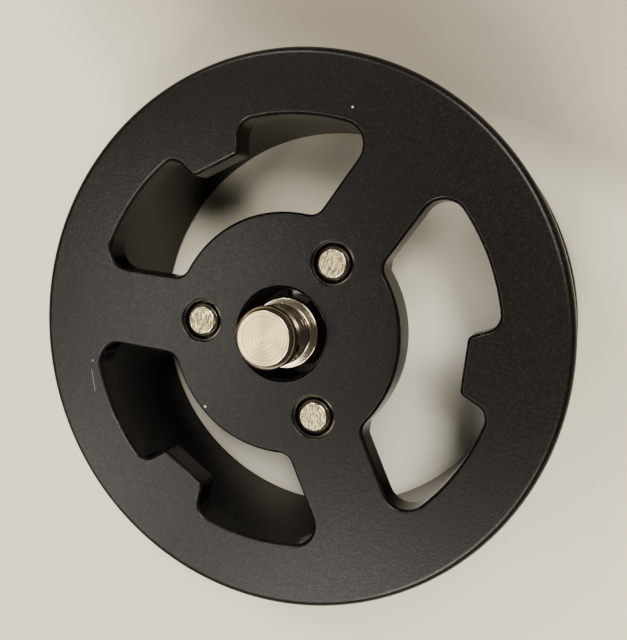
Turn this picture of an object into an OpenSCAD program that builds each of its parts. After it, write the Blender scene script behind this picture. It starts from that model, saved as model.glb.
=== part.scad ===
// Small ratcheting rope winch: a windowed drum that turns one way on a fixed, threaded spindle.
// Axis on Z. Origin at the centre of the foot's underside, front face towards +Z, +X through a window.

/* [Drum] */
// Outside diameter of both flanges
drum_d = 91.2; // [84:0.2:98]
// Front face to rear rim
drum_depth = 27.3; // [26:0.1:32]
// Diameter of the open cavity behind the front plate
cavity_d = 71.8; // [70.8:0.2:72.6]
// Diameter of the barrel that the rope winds on
barrel_d = 77.6; // [76.6:0.2:79]
// Thickness of each flange
flange_t = 4; // [3:0.1:4.5]
// Thickness of the rim and spokes of the front plate
rim_t = 4.5; // [3.5:0.1:5.5]
// Thickness of the hub of the front plate
hub_t = 6.75; // [6:0.05:7.2]
// Diameter of the clearance hole round the spindle
hub_hole_d = 15; // [14:0.1:16]

/* [Windows] */
// Number of windows
window_count = 3; // [3:1:3]
// Radius of the hub side of each window
window_inner_r = 19.75; // [19:0.05:21]
// Radius of the rim side of each window
window_outer_r = 35; // [34:0.05:35.2]
// Width of the spokes between windows
spoke_w = 13.2; // [12:0.1:15]
// Radius of the two corners beside the hub
inner_corner_r = 2.5; // [1.5:0.1:3]
// Radius of the two corners beside the rim
outer_corner_r = 3.6; // [2.5:0.1:4.2]
// Radius at the flat tip of each tooth
tooth_tip_r = 29.75; // [29:0.05:31]
// Width of the tooth at its tip, before rounding
tooth_w = 8.9; // [8:0.1:10]
// Angle between each side of the tooth and its centre line
tooth_flare = 24.5; // [15:0.5:30]
// Rounding of the tooth's tip corners
tooth_tip_round = 1.1; // [0.6:0.1:1.6]
// Rounding where the tooth joins the rim
tooth_root_round = 2.5; // [1.5:0.1:3]

/* [Drive pins] */
// Diameter of the circle that the pins stand on
pin_pcd = 28.8; // [28:0.1:29.4]
// Diameter of each pin
pin_d = 5.8; // [5.4:0.1:6]
// Diameter of the sunk hole round each pin's end
pin_sink_d = 6.5; // [6.3:0.1:6.8]
// Depth of the sunk hole
pin_sink = 2; // [1:0.1:3]

/* [Spindle] */
// Major diameter of the threaded stud
stud_d = 10; // [8:0.5:10.5]
// How far the stud stands out of the drum's face
stud_out = 7.5; // [6:0.1:12]
// Diameter of the collar and of the bearing journals
journal_d = 12; // [12:0.1:12.2]
// How far the collar's top lies below the drum's face
collar_below = 1.5; // [1:0.1:2.5]
// Diameter of the tapped hole in the spindle's rear end, before threading
tap_d = 6.8; // [5:0.1:7]
// Depth of the tapped hole
tap_depth = 14; // [10:0.5:16]

/* [Foot and carrier] */
// Diameter of the foot that bears on the deck
foot_d = 28; // [24:0.5:29]
// Distance between the two dowel holes in the foot
dowel_spacing = 20; // [19:0.5:21]
// Diameter of each dowel hole
dowel_d = 3; // [2:0.1:3.4]
// Outside diameter of the bearing housing
housing_d = 27.6; // [27:0.1:28]
// Distance from the axis to each flat of the three-cornered flange
carrier_flat_r = 14.1; // [14.1:0.1:15]
// Height of the three-cornered flange
carrier_flange_t = 5.5; // [4.5:0.1:6]
// Radius at which the flange's corners are turned off
carrier_corner_r = 24; // [20:0.5:28]

/* [Hidden] */

// Smoothness of the turned shapes
fine = 96;
// Overshoot of every cut
cut = 1;
// Largest step of an arc in an outline, in degrees
arc_step = 9;

// Heights above the deck
rim_z = 0.5;
face_z = rim_z + drum_depth;
hub_back_z = face_z - hub_t;
plate_back_z = face_z - rim_t;
collar_z = face_z - collar_below;
stud_z = face_z + stud_out;
foot_t = 2.6;
housing_z = 3;
bearing_w = 5;
rear_bearing_z = 4.7;
ratchet_z = rear_bearing_z + bearing_w;
ratchet_t = 4.8;
front_bearing_z = ratchet_z + ratchet_t;
lip_z = front_bearing_z + bearing_w;
carrier_flange_z = hub_back_z - carrier_flange_t;

// Drum details
flange_edge_r = 1.2;
groove_edge_r = 0.6;
groove_fillet_r = 4.3;
rear_edge_r = 0.8;

// Pins
pin_bottom_z = carrier_flange_z + 0.5;
pin_chamfer = 0.65;
pin_angle = 180 / window_count;

// Bearings, thin section, 12 mm bore and 21 mm outside
bearing_r = 10.5;
ball_r = 1.19;
ball_groove_r = 1.25;
ball_pitch_r = 8.25;
ball_count = 11;
inner_race_r = 7.4;
outer_race_r = 9.1;
cage_inner_r = 7.65;
cage_outer_r = 8.85;
cage_t = 3;
shield_t = 0.3;
shield_inner_r = 7.65;
shield_outer_r = 9.05;

// Circlips
circlip_t = 1;
circlip_play = 0.1;
housing_groove_r = 11;
spindle_groove_r = 5.7;
circlip_gap = 40;
lip_r = 9.6;

// Ratchet
tooth_count = 12;
ratchet_tip_r = 8.75;
ratchet_root_r = 9.75;
tooth_lean = 3;
tooth_phase = -43;

// Pawls, worked out for the pivot on +X
pawl_count = 2;
pawl_hub_r = 8.4;
pawl_pivot_r = 6.6;
pawl_heel_r = 1.4;
pawl_arm_half = 0.9;
pawl_t = 4.3;
pawl_z = ratchet_z + (ratchet_t - pawl_t) / 2;
pawl_swing = 13;
nose_gap = 3.2;
socket_play = 0.04;
pocket_play = 0.35;
spring_t = 0.25;
spring_w = 3.6;

// ---- points ----

function polar(r, a) = [r * cos(a), r * sin(a)];

function turned(v, a) = [v[0] * cos(a) - v[1] * sin(a), v[0] * sin(a) + v[1] * cos(a)];

function unit(v) = v / norm(v);

function heading(v) = atan2(v[1], v[0]);

function arc(centre, r, a0, a1) =
    let (steps = max(2, ceil(abs(a1 - a0) / arc_step)))
    [for (i = [0:steps]) centre + polar(r, a0 + (a1 - a0) * i / steps)];

// Point on a ray from start along way at which the distance to the origin is r
function reach(start, way, r) =
    let (b = start * way, c = start * start - r * r)
    start + way * (sqrt(b * b - c) - b);

// ---- window outline, centred on +X, walked from the hub round to the tooth's tip ----

function half_window() =
    let (
        along = polar(1, 180 / window_count),
        aside = turned(along, -90),
        hub_offset = spoke_w / 2 + inner_corner_r,
        rim_offset = spoke_w / 2 + outer_corner_r,
        hub_corner = reach(aside * hub_offset, along, window_inner_r + inner_corner_r),
        rim_corner = reach(aside * rim_offset, along, window_outer_r - outer_corner_r),
        side = polar(1, tooth_flare),
        side_out = turned(side, 90),
        tip = [tooth_tip_r, tooth_w / 2],
        root = reach(tip + side_out * tooth_root_round, side, window_outer_r - tooth_root_round),
        tip_drop = tooth_tip_round * (1 - sin(tooth_flare)) / cos(tooth_flare),
        tip_corner = tip + [tooth_tip_round, -tip_drop],
        spoke_heading = 180 / window_count
    )
    concat(
        arc([0, 0], window_inner_r, 0, heading(hub_corner)),
        arc(hub_corner, inner_corner_r, heading(hub_corner) + 180, spoke_heading + 90),
        arc(rim_corner, outer_corner_r, spoke_heading + 90, heading(rim_corner)),
        arc([0, 0], window_outer_r, heading(rim_corner), heading(root)),
        arc(root, tooth_root_round, heading(root), tooth_flare - 90),
        arc(tip_corner, tooth_tip_round, tooth_flare + 90, 180)
    );

function window_outline() =
    let (upper = half_window())
    concat(upper, [for (i = [len(upper) - 1:-1:1]) [upper[i][0], -upper[i][1]]]);

// ---- general shapes ----

module tube(r_out, r_in, h) {
    difference() {
        cylinder(r = r_out, h = h, $fn = fine);
        translate([0, 0, -cut]) cylinder(r = r_in, h = h + 2 * cut, $fn = fine);
    }
}

module chamfered_rod(r, h, chamfer) {
    cylinder(r = r, h = h - chamfer, $fn = fine);
    translate([0, 0, h - chamfer]) cylinder(r1 = r, r2 = r - chamfer, h = chamfer, $fn = fine);
}

// Wedge from the axis out to r, for the gap of a circlip
module wedge(r, angle, h) {
    linear_extrude(height = h) polygon([[0, 0], polar(r, -angle / 2), polar(r, angle / 2)]);
}

// ---- drum ----

function drum_profile() =
    let (
        r = drum_d / 2,
        low = rim_z + flange_t,
        high = face_z - flange_t,
        barrel = barrel_d / 2,
        round_r = barrel + groove_fillet_r
    )
    concat(
        [[0, face_z]],
        [[0, rim_z], [r - rear_edge_r, rim_z]],
        arc([r - rear_edge_r, rim_z + rear_edge_r], rear_edge_r, -90, 0),
        arc([r - groove_edge_r, low - groove_edge_r], groove_edge_r, 0, 90),
        arc([round_r, low + groove_fillet_r], groove_fillet_r, 270, 180),
        arc([round_r, high - groove_fillet_r], groove_fillet_r, 180, 90),
        arc([r - groove_edge_r, high + groove_edge_r], groove_edge_r, -90, 0),
        arc([r - flange_edge_r, face_z - flange_edge_r], flange_edge_r, 0, 90)
    );

module drum_cavity() {
    difference() {
        translate([0, 0, rim_z - cut]) cylinder(d = cavity_d, h = plate_back_z - rim_z + cut, $fn = fine);
        translate([0, 0, hub_back_z]) cylinder(r = window_inner_r, h = hub_t, $fn = fine);
    }
}

module pin_hole() {
    translate([pin_pcd / 2, 0, hub_back_z - cut]) cylinder(d = pin_d, h = hub_t + cut, $fn = fine);
    translate([pin_pcd / 2, 0, face_z - pin_sink]) cylinder(d = pin_sink_d, h = pin_sink + cut, $fn = fine);
}

module drum() {
    color([0.07, 0.07, 0.07])
    difference() {
        rotate_extrude($fn = fine) polygon(drum_profile());
        drum_cavity();
        translate([0, 0, hub_back_z - cut]) cylinder(d = hub_hole_d, h = hub_t + 2 * cut, $fn = fine);
        for (i = [0:window_count - 1]) {
            rotate(i * 360 / window_count)
            translate([0, 0, plate_back_z - cut - hub_t])
            linear_extrude(height = hub_t + rim_t + 2 * cut) polygon(window_outline());
            rotate(i * 360 / window_count + pin_angle) pin_hole();
        }
    }
}

// ---- drive pins: they key the front plate to the bearing carrier ----

module drive_pin(number) {
    color([0.78, 0.76, 0.72])
    rotate(pin_angle + (number - 1) * 360 / window_count)
    translate([pin_pcd / 2, 0, pin_bottom_z])
    chamfered_rod(pin_d / 2, face_z - pin_bottom_z, pin_chamfer);
}

// ---- bearing carrier: housing for both bearings and the ratchet ring ----

module carrier_flange() {
    intersection() {
        cylinder(r = carrier_corner_r, h = carrier_flange_t, $fn = fine);
        rotate(180 / window_count)
        cylinder(r = carrier_flat_r / cos(180 / window_count), h = carrier_flange_t, $fn = window_count);
    }
}

module bearing_carrier() {
    color([0.1, 0.1, 0.1])
    difference() {
        union() {
            translate([0, 0, housing_z])
            cylinder(d = housing_d, h = carrier_flange_z + cut - housing_z, $fn = fine);
            translate([0, 0, carrier_flange_z]) carrier_flange();
        }
        translate([0, 0, housing_z - cut]) cylinder(r = bearing_r, h = lip_z - housing_z + cut, $fn = fine);
        translate([0, 0, housing_z]) cylinder(r = lip_r, h = hub_back_z, $fn = fine);
        translate([0, 0, rear_bearing_z - circlip_t - circlip_play])
        cylinder(r = housing_groove_r, h = circlip_t + circlip_play, $fn = fine);
        for (i = [0:window_count - 1]) {
            rotate(pin_angle + i * 360 / window_count)
            translate([pin_pcd / 2, 0, pin_bottom_z]) cylinder(d = pin_d, h = hub_back_z, $fn = fine);
        }
    }
}

// ---- bearings ----

module ball_groove() {
    translate([0, 0, bearing_w / 2])
    rotate_extrude($fn = fine) translate([ball_pitch_r, 0]) circle(r = ball_groove_r, $fn = 48);
}

module inner_race(z) {
    color([0.72, 0.73, 0.75])
    translate([0, 0, z])
    difference() {
        tube(inner_race_r, journal_d / 2, bearing_w);
        ball_groove();
    }
}

module outer_race(z) {
    color([0.72, 0.73, 0.75])
    translate([0, 0, z])
    difference() {
        tube(bearing_r, outer_race_r, bearing_w);
        ball_groove();
    }
}

module balls(z) {
    color([0.8, 0.8, 0.82])
    translate([0, 0, z + bearing_w / 2])
    for (i = [0:ball_count - 1]) {
        rotate(i * 360 / ball_count) translate([ball_pitch_r, 0, 0]) sphere(r = ball_r, $fn = 48);
    }
}

module cage(z) {
    color([0.55, 0.42, 0.25])
    translate([0, 0, z + bearing_w / 2])
    difference() {
        translate([0, 0, -cage_t / 2]) tube(cage_outer_r, cage_inner_r, cage_t);
        for (i = [0:ball_count - 1]) {
            rotate([0, 90, i * 360 / ball_count])
            translate([0, 0, cage_inner_r - cut])
            cylinder(r = ball_groove_r, h = cage_outer_r - cage_inner_r + 2 * cut, $fn = 48);
        }
    }
}

// Closes the open face of a bearing, held by the outer race
module shield(z) {
    color([0.12, 0.12, 0.13])
    translate([0, 0, z]) tube(shield_outer_r, shield_inner_r, shield_t);
}

module rear_bearing_outer_race() { outer_race(rear_bearing_z); }
module front_bearing_outer_race() { outer_race(front_bearing_z); }
module rear_bearing_inner_race() { inner_race(rear_bearing_z); }
module front_bearing_inner_race() { inner_race(front_bearing_z); }
module rear_bearing_balls() { balls(rear_bearing_z); }
module front_bearing_balls() { balls(front_bearing_z); }
module rear_bearing_cage() { cage(rear_bearing_z); }
module front_bearing_cage() { cage(front_bearing_z); }
module rear_bearing_shield() { shield(rear_bearing_z); }
module front_bearing_shield() { shield(front_bearing_z + bearing_w - shield_t); }

// ---- circlips ----

module housing_circlip() {
    color([0.35, 0.33, 0.32])
    translate([0, 0, rear_bearing_z - circlip_t - circlip_play / 2])
    difference() {
        tube(housing_groove_r - 0.05, lip_r - 0.4, circlip_t);
        translate([0, 0, -cut]) wedge(2 * bearing_r, circlip_gap, circlip_t + 2 * cut);
    }
}

module spindle_circlip() {
    color([0.35, 0.33, 0.32])
    translate([0, 0, lip_z + circlip_play / 2])
    difference() {
        tube(inner_race_r, spindle_groove_r + 0.05, circlip_t);
        translate([0, 0, -cut]) rotate(90) wedge(2 * bearing_r, circlip_gap, circlip_t + 2 * cut);
    }
}

// ---- ratchet ring: teeth lean so that a pawl stops the drum turning anticlockwise ----

function ratchet_outline() =
    [for (i = [0:tooth_count - 1]) for (p = [0, 1])
        let (a = tooth_phase + i * 360 / tooth_count)
        p == 0 ? polar(ratchet_tip_r, a) : polar(ratchet_root_r, a + tooth_lean)];

module ratchet_ring() {
    color([0.5, 0.5, 0.52])
    translate([0, 0, ratchet_z])
    difference() {
        cylinder(r = bearing_r, h = ratchet_t, $fn = fine);
        translate([0, 0, -cut]) linear_extrude(height = ratchet_t + 2 * cut) polygon(ratchet_outline());
    }
}

// ---- pawls: drawn pressed in, as a passing tooth's tip holds them; the springs lift them out ----

// The engaged pawl's nose, from which the pressed pawl is turned back
pawl_pivot = [pawl_pivot_r, 0];
pawl_nose_out = polar(ratchet_root_r - 0.35, tooth_phase + tooth_lean * 0.75 + nose_gap);
pawl_nose_in = polar(ratchet_tip_r - 0.75, tooth_phase - tooth_lean * 0.75 + nose_gap);
pawl_way = unit((pawl_nose_out + pawl_nose_in) / 2 - pawl_pivot);
pawl_out = turned(pawl_way, 90);

module pawl(number) {
    color([0.6, 0.6, 0.6])
    rotate((number - 1) * 360 / pawl_count)
    translate([pawl_pivot_r, 0, pawl_z])
    rotate(-pawl_swing)
    linear_extrude(height = pawl_t) {
        circle(r = pawl_heel_r, $fn = fine);
        polygon([
            pawl_out * pawl_arm_half, -pawl_out * pawl_arm_half,
            pawl_nose_in - pawl_pivot, pawl_nose_out - pawl_pivot
        ]);
    }
}

// Room for one pawl to swing from the ratchet ring down into the hub
module pawl_pocket() {
    back = turned(pawl_out, -pawl_swing);
    side = pawl_arm_half + pocket_play;
    nose_floor = pawl_pivot + turned(pawl_nose_in - pawl_pivot, -pawl_swing) - back * 2 * pocket_play;
    nose_end = nose_floor + turned(pawl_way, -pawl_swing) * 2 * pocket_play;
    translate(pawl_pivot) circle(r = pawl_heel_r + socket_play, $fn = fine);
    polygon([
        pawl_pivot + pawl_out * side, pawl_pivot - back * side, nose_floor, nose_end,
        polar(bearing_r, heading(nose_end)), polar(bearing_r, heading(pawl_nose_out) + 9)
    ]);
}

// Bent leaf, pressed nearly flat between the pawl's arm and the pocket's floor
module pawl_spring(number) {
    back = turned(pawl_out, -pawl_swing);
    under = pawl_pivot - back * pawl_arm_half;
    arm = pawl_pivot + turned(pawl_nose_in - pawl_pivot, -pawl_swing) - under;
    heel = under + arm * 0.3 - back * 0.06;
    bend = under + arm * 0.6 - back * 0.22;
    end = under + arm * 0.9 - back * 0.06;
    color([0.75, 0.72, 0.66])
    rotate((number - 1) * 360 / pawl_count)
    translate([0, 0, pawl_z + (pawl_t - spring_w) / 2])
    linear_extrude(height = spring_w)
    polygon([
        heel, bend, end, end - back * spring_t,
        bend - back * spring_t, heel - back * spring_t
    ]);
}

// ---- spindle and foot ----

hex_flats = 10;
hex_r = hex_flats / 2 / cos(30);
stud_chamfer = 0.75;
collar_chamfer = 0.3;
tap_chamfer = 0.5;

module spindle() {
    color([0.8, 0.78, 0.74])
    difference() {
        union() {
            cylinder(r = hex_r, h = rear_bearing_z, $fn = 6);
            translate([0, 0, rear_bearing_z])
            chamfered_rod(journal_d / 2, collar_z - rear_bearing_z, collar_chamfer);
            translate([0, 0, ratchet_z]) cylinder(r = pawl_hub_r, h = ratchet_t, $fn = fine);
            translate([0, 0, collar_z - cut])
            chamfered_rod(stud_d / 2, stud_z - collar_z + cut, stud_chamfer);
        }
        translate([0, 0, -cut]) cylinder(d = tap_d, h = tap_depth + cut, $fn = fine);
        translate([0, 0, -tap_chamfer])
        cylinder(r1 = tap_d / 2 + 2 * tap_chamfer, r2 = tap_d / 2, h = 2 * tap_chamfer, $fn = fine);
        translate([0, 0, lip_z]) tube(journal_d, spindle_groove_r, circlip_t + circlip_play);
        for (i = [0:pawl_count - 1]) {
            translate([0, 0, ratchet_z]) rotate(i * 360 / pawl_count)
            linear_extrude(height = ratchet_t) pawl_pocket();
        }
    }
}

module mounting_foot() {
    color([0.7, 0.69, 0.67])
    difference() {
        union() {
            cylinder(d = foot_d, h = foot_t, $fn = fine);
            cylinder(r = inner_race_r - 0.2, h = rear_bearing_z, $fn = fine);
        }
        translate([0, 0, -cut]) cylinder(r = hex_r, h = rear_bearing_z + 2 * cut, $fn = 6);
        for (x = [-dowel_spacing / 2, dowel_spacing / 2]) {
            translate([x, 0, -cut]) cylinder(d = dowel_d, h = foot_t + 2 * cut, $fn = fine);
        }
    }
}

drum();
drive_pin(1);  // drive_pin_1
drive_pin(2);  // drive_pin_2
drive_pin(3);  // drive_pin_3
bearing_carrier();
ratchet_ring();
rear_bearing_outer_race();
front_bearing_outer_race();
rear_bearing_shield();
front_bearing_shield();
housing_circlip();
spindle();
mounting_foot();
rear_bearing_inner_race();
front_bearing_inner_race();
spindle_circlip();
rear_bearing_balls();
front_bearing_balls();
rear_bearing_cage();
front_bearing_cage();
pawl(1);  // pawl_1
pawl(2);  // pawl_2
pawl_spring(1);  // pawl_spring_1
pawl_spring(2);  // pawl_spring_2
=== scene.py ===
"""Small ratcheting rope winch: a windowed, black anodised drum on a fixed stainless spindle."""
import math

import bmesh
import bpy
from mathutils import Matrix, Vector
from mathutils.geometry import delaunay_2d_cdt


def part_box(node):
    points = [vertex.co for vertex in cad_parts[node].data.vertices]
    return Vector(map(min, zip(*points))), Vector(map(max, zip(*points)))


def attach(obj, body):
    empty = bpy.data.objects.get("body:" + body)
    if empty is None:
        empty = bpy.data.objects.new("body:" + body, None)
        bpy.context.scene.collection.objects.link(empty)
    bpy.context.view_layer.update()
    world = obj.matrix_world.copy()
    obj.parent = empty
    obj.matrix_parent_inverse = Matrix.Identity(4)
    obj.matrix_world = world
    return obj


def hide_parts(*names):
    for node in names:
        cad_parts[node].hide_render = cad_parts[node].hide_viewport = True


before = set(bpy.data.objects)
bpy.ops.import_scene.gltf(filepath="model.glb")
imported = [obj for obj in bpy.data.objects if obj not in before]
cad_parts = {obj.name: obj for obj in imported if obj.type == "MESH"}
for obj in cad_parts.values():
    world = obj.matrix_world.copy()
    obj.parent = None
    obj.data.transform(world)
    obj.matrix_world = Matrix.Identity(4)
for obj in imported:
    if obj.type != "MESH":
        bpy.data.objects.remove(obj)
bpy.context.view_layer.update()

MM = 0.001

# ---- sizes read from the frame ----

DRUM_LOW, DRUM_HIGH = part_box("drum")
DRUM_R = DRUM_HIGH.x
FACE_Z = DRUM_HIGH.z
RIM_Z = DRUM_LOW.z
FOOT_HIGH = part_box("mounting_foot")[1]
STUD_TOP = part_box("spindle")[1].z
CARRIER_LOW, CARRIER_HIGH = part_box("bearing_carrier")
HUB_BACK_Z = CARRIER_HIGH.z

# ---- sizes of the drum, as in the CAD model ----

WINDOWS = 3
RIM_T = 4.5 * MM
PLATE_BACK_Z = FACE_Z - RIM_T
CAVITY_R = 35.9 * MM
BARREL_R = 38.8 * MM
FLANGE_T = 4 * MM
HUB_HOLE_R = 7.5 * MM
WINDOW_IN_R = 19.75 * MM
WINDOW_OUT_R = 35 * MM
SPOKE_HALF = 6.6 * MM
IN_CORNER_R = 2.5 * MM
OUT_CORNER_R = 3.6 * MM
TOOTH_TIP_R = 29.75 * MM
TOOTH_HALF = 4.45 * MM
TOOTH_FLARE = math.radians(24.5)
TOOTH_TIP_ROUND = 1.1 * MM
TOOTH_ROOT_ROUND = 2.5 * MM
FLANGE_EDGE_R = 1.2 * MM
GROOVE_EDGE_R = 0.6 * MM
GROOVE_FILLET_R = 4.3 * MM
REAR_EDGE_R = 0.8 * MM
WINDOW_CHAMFER = 0.42 * MM
HUB_HOLE_CHAMFER = 0.4 * MM
BACK_CHAMFER = 0.3 * MM
EDGE_SOFTENING = 0.07 * MM
SUPPORT = 0.12 * MM

# ---- pins, spindle ----

PIN_CIRCLE_R = 14.4 * MM
PIN_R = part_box("drive_pin_2")[1].y
PIN_SINK_R = 3.25 * MM
PIN_SINK = 2 * MM
PIN_HOLE_CHAMFER = 0.45 * MM
PIN_CHAMFER = 0.65 * MM
STEEL_SOFTENING = 0.15 * MM
STUD_R = 5 * MM
STUD_CHAMFER = 0.7 * MM
COLLAR_R = 6 * MM
COLLAR_Z = FACE_Z - 1.5 * MM
COLLAR_CHAMFER = 0.25 * MM
THREAD_PITCH = 1.25 * MM
THREAD_DEPTH = 0.62 * MM
THREAD_FADE = 0.5 * MM
PLAIN_END = 3.2 * MM
RELIEF = 0.9 * MM
RELIEF_FILLET = 0.25 * MM
CAD_CUT_LOW = 3.9 * MM
CAD_CUT_HIGH = COLLAR_Z - 5 * MM
TAP_R = 3.4 * MM
TAP_DEPTH = 14 * MM
TAP_CHAMFER = 0.5 * MM
TAP_PITCH = 1.25 * MM
TAP_THREAD_DEPTH = 0.6 * MM
TAP_RUN_OUT = 2 * MM
HEX_FLATS_R = 5 * MM
HEX_CHAMFER = 0.4 * MM
HEX_CORNER_R = 0.5 * MM
HEX_HOLE_CORNER_R = 0.45 * MM

# ---- foot, bearing carrier, bearings ----

FOOT_T = 2.6 * MM
FOOT_SOFT = 0.3 * MM
BOSS_FILLET = 0.25 * MM
BOSS_R = 7.2 * MM
BOSS_TOP = FOOT_HIGH.z
DOWEL_R = 1.5 * MM
DOWEL_X = 10 * MM
HOUSING_R = 13.8 * MM
CARRIER_FLAT_R = 14.1 * MM
CARRIER_R = 24 * MM
CARRIER_CORNER_R = 1.2 * MM
CARRIER_SOFT = 0.35 * MM
HOUSING_ROOT = 0.1 * MM
PIN_SOCKET_FLOOR = 0.5 * MM
FLANGE_Z = HUB_BACK_Z - 5.5 * MM
LIP_R = 9.6 * MM
RACE_R = 10.5 * MM
RACE_T = 5 * MM
RACE_Z = (4.7 * MM, 14.5 * MM)
RACE_SOFT = 0.2 * MM
CIRCLIP_GROOVE_R = 11 * MM
CIRCLIP_GROOVE_T = 1.1 * MM
HOUSING_CIRCLIP_R = (9.2 * MM, 10.95 * MM)
SPINDLE_CIRCLIP_R = (5.75 * MM, 7.4 * MM)
CIRCLIP_GAP = math.radians(40)
CIRCLIP_CORNER_R = 0.25 * MM
CIRCLIP_SOFT = 0.1 * MM
JOURNAL_R = 6 * MM
INNER_RACE_R = 7.4 * MM
OUTER_RACE_R = 9.1 * MM
BALL_CIRCLE_R = 8.25 * MM
BALL_GROOVE_R = 1.25 * MM
SHIELD_R = 7.65 * MM
SHIELD_SOFT = 0.06 * MM

TURN = 2 * math.pi
LATHE_STEPS = 288
STUD_STEPS = 144
HOLE_STEPS = 96
PIN_STEPS = 72
FILLET_STEP = math.radians(6)
ARC_STEP = math.radians(1.25)
SHARP_ANGLE = math.radians(35)
WELD_DISTANCE = 1e-7
CDT_TOLERANCE = 1e-9

# The picture's upright is turned about Z from the row's axes by this much
PICTURE_TURN = math.radians(8.2)
LIGHT_DISTANCE = 1.1
WARM_WHITE = (1.0, 0.955, 0.875)
FLOOR_HALF = 1.5

# ---- the scratch on the face ----

SCRATCH_CENTRE_MM = (-34.5, -13.4)
SCRATCH_HEADING = math.radians(-73)
SCRATCH_HALF_LENGTH_MM = 2.6
SCRATCH_HALF_WIDTH_MM = 0.05

# ---- painted shade and painted light on the paper ----

# The half shade begins and ends this far from the axis, along its own heading in the picture
SHADE_HEADING = (0.467, 0.885)
SHADE_START = 41 * MM
SHADE_END = 49 * MM
# The paper dims from the outer to the inner radius round this spot: a painted shadow near the top of the
# picture
PAINTED_SHADOW_SPOT = (-12 * MM, 95 * MM, 0)
PAINTED_SHADOW_IN_R = 34 * MM
PAINTED_SHADOW_OUT_R = 74 * MM
# Under the lower windows a painted pool of light brightens the paper inside this radius and below this height
# in the picture
PAINTED_LIGHT_IN_R = 34.5 * MM
PAINTED_LIGHT_OUT_R = 36.5 * MM
PAINTED_LIGHT_TOP = 12 * MM
PAINTED_LIGHT_FULL = -6 * MM


def seen(right, up, out):
    """A direction given as the camera's viewer would: to the right, up the picture, out of the face."""
    return Matrix.Rotation(PICTURE_TURN, 3, "Z") @ Vector((right, up, out))


# ---------------------------------------------------------------- camera


def make_camera():
    data = bpy.data.cameras.new("camera")
    data.sensor_width = 36
    data.lens = 43.7
    data.clip_start = 0.01
    data.clip_end = 20
    camera = bpy.data.objects.new("camera", data)
    camera.location = Vector((43.83, 18.59, 144.67)) * MM
    camera.rotation_euler = [math.radians(a) for a in (-4.798, 18.985, 7.380)]
    bpy.context.scene.collection.objects.link(camera)
    bpy.context.scene.camera = camera


# ---------------------------------------------------------------- node helpers


# The Mix node has its sockets for every data type at once; these are the colour's
COLOUR_MIX_INPUTS = (0, 6, 7)
COLOUR_MIX_OUTPUT = 2


class Nodes:
    """Short way to write a material's node tree."""

    def __init__(self, name):
        self.material = bpy.data.materials.new(name)
        self.material.use_nodes = True
        self.tree = self.material.node_tree
        self.shader = self.tree.nodes["Principled BSDF"]

    def add(self, kind, **inputs):
        """A new node. Its inputs go by name, or by number as i0 and i1."""
        node = self.tree.nodes.new(kind)
        for key, value in inputs.items():
            by_number = key[0] == "i" and key[1:].isdigit()
            self.set(node.inputs[int(key[1:]) if by_number else key], value)
        return node

    def set(self, socket, value):
        """Gives a socket a value, or links another node's output to it."""
        if isinstance(value, bpy.types.NodeSocket):
            self.tree.links.new(value, socket)
        elif socket.type == "RGBA":
            socket.default_value = (*value, 1)
        else:
            socket.default_value = value

    def math(self, operation, a, b=0.0):
        node = self.add("ShaderNodeMath", i0=a, i1=b)
        node.operation = operation
        return node.outputs[0]

    def measure(self, operation, a, b=(0, 0, 0)):
        """The length, distance or dot product of vectors."""
        node = self.add("ShaderNodeVectorMath", i0=a, i1=b)
        node.operation = operation
        return node.outputs["Value"]

    def position(self, scale=(1, 1, 1)):
        coords = self.add("ShaderNodeTexCoord").outputs["Object"]
        if scale == (1, 1, 1):
            return coords
        return self.add("ShaderNodeMapping", Vector=coords, Scale=scale).outputs[0]

    def noise(self, scale, detail=2.0, where=None, rough=0.5):
        return self.add(
            "ShaderNodeTexNoise", Vector=where or self.position(), Scale=scale, Detail=detail, Roughness=rough
        ).outputs["Fac"]

    def ramp(self, fac, low, high, out_low=0.0, out_high=1.0):
        node = self.add("ShaderNodeMapRange", Value=fac)
        for key, value in zip(("From Min", "From Max", "To Min", "To Max"), (low, high, out_low, out_high)):
            node.inputs[key].default_value = value
        return node.outputs[0]

    def mix(self, fac, a, b):
        node = self.add("ShaderNodeMix")
        node.data_type = "RGBA"
        fac_socket, a_socket, b_socket = (node.inputs[i] for i in COLOUR_MIX_INPUTS)
        self.set(fac_socket, fac)
        self.set(a_socket, a)
        self.set(b_socket, b)
        return node.outputs[COLOUR_MIX_OUTPUT]

    def bump(self, height, strength, distance):
        return self.add("ShaderNodeBump", Height=height, Strength=strength, Distance=distance).outputs[0]

    def finish(self, **values):
        """Sets the shader's inputs; an underscore in a name stands for a space."""
        for key, value in values.items():
            self.set(self.shader.inputs[key.replace("_", " ")], value)
        return self.material


# ---------------------------------------------------------------- materials


def scratch_mask(n):
    """1 inside the thin broken scratch on the face, 0 elsewhere."""
    mapping = n.add("ShaderNodeMapping", Vector=n.position((1 / MM, 1 / MM, 1 / MM)))
    mapping.vector_type = "TEXTURE"
    mapping.inputs["Location"].default_value = (*SCRATCH_CENTRE_MM, 0)
    mapping.inputs["Rotation"].default_value = (0, 0, SCRATCH_HEADING)
    parts = n.add("ShaderNodeSeparateXYZ", Vector=mapping.outputs[0])
    along = n.math("LESS_THAN", n.math("ABSOLUTE", parts.outputs["X"]), SCRATCH_HALF_LENGTH_MM)
    across = n.math("LESS_THAN", n.math("ABSOLUTE", parts.outputs["Y"]), SCRATCH_HALF_WIDTH_MM)
    breaks = n.ramp(n.noise(700, 2.0), 0.42, 0.5)
    return n.math("MULTIPLY", n.math("MULTIPLY", along, across), breaks)


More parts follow.
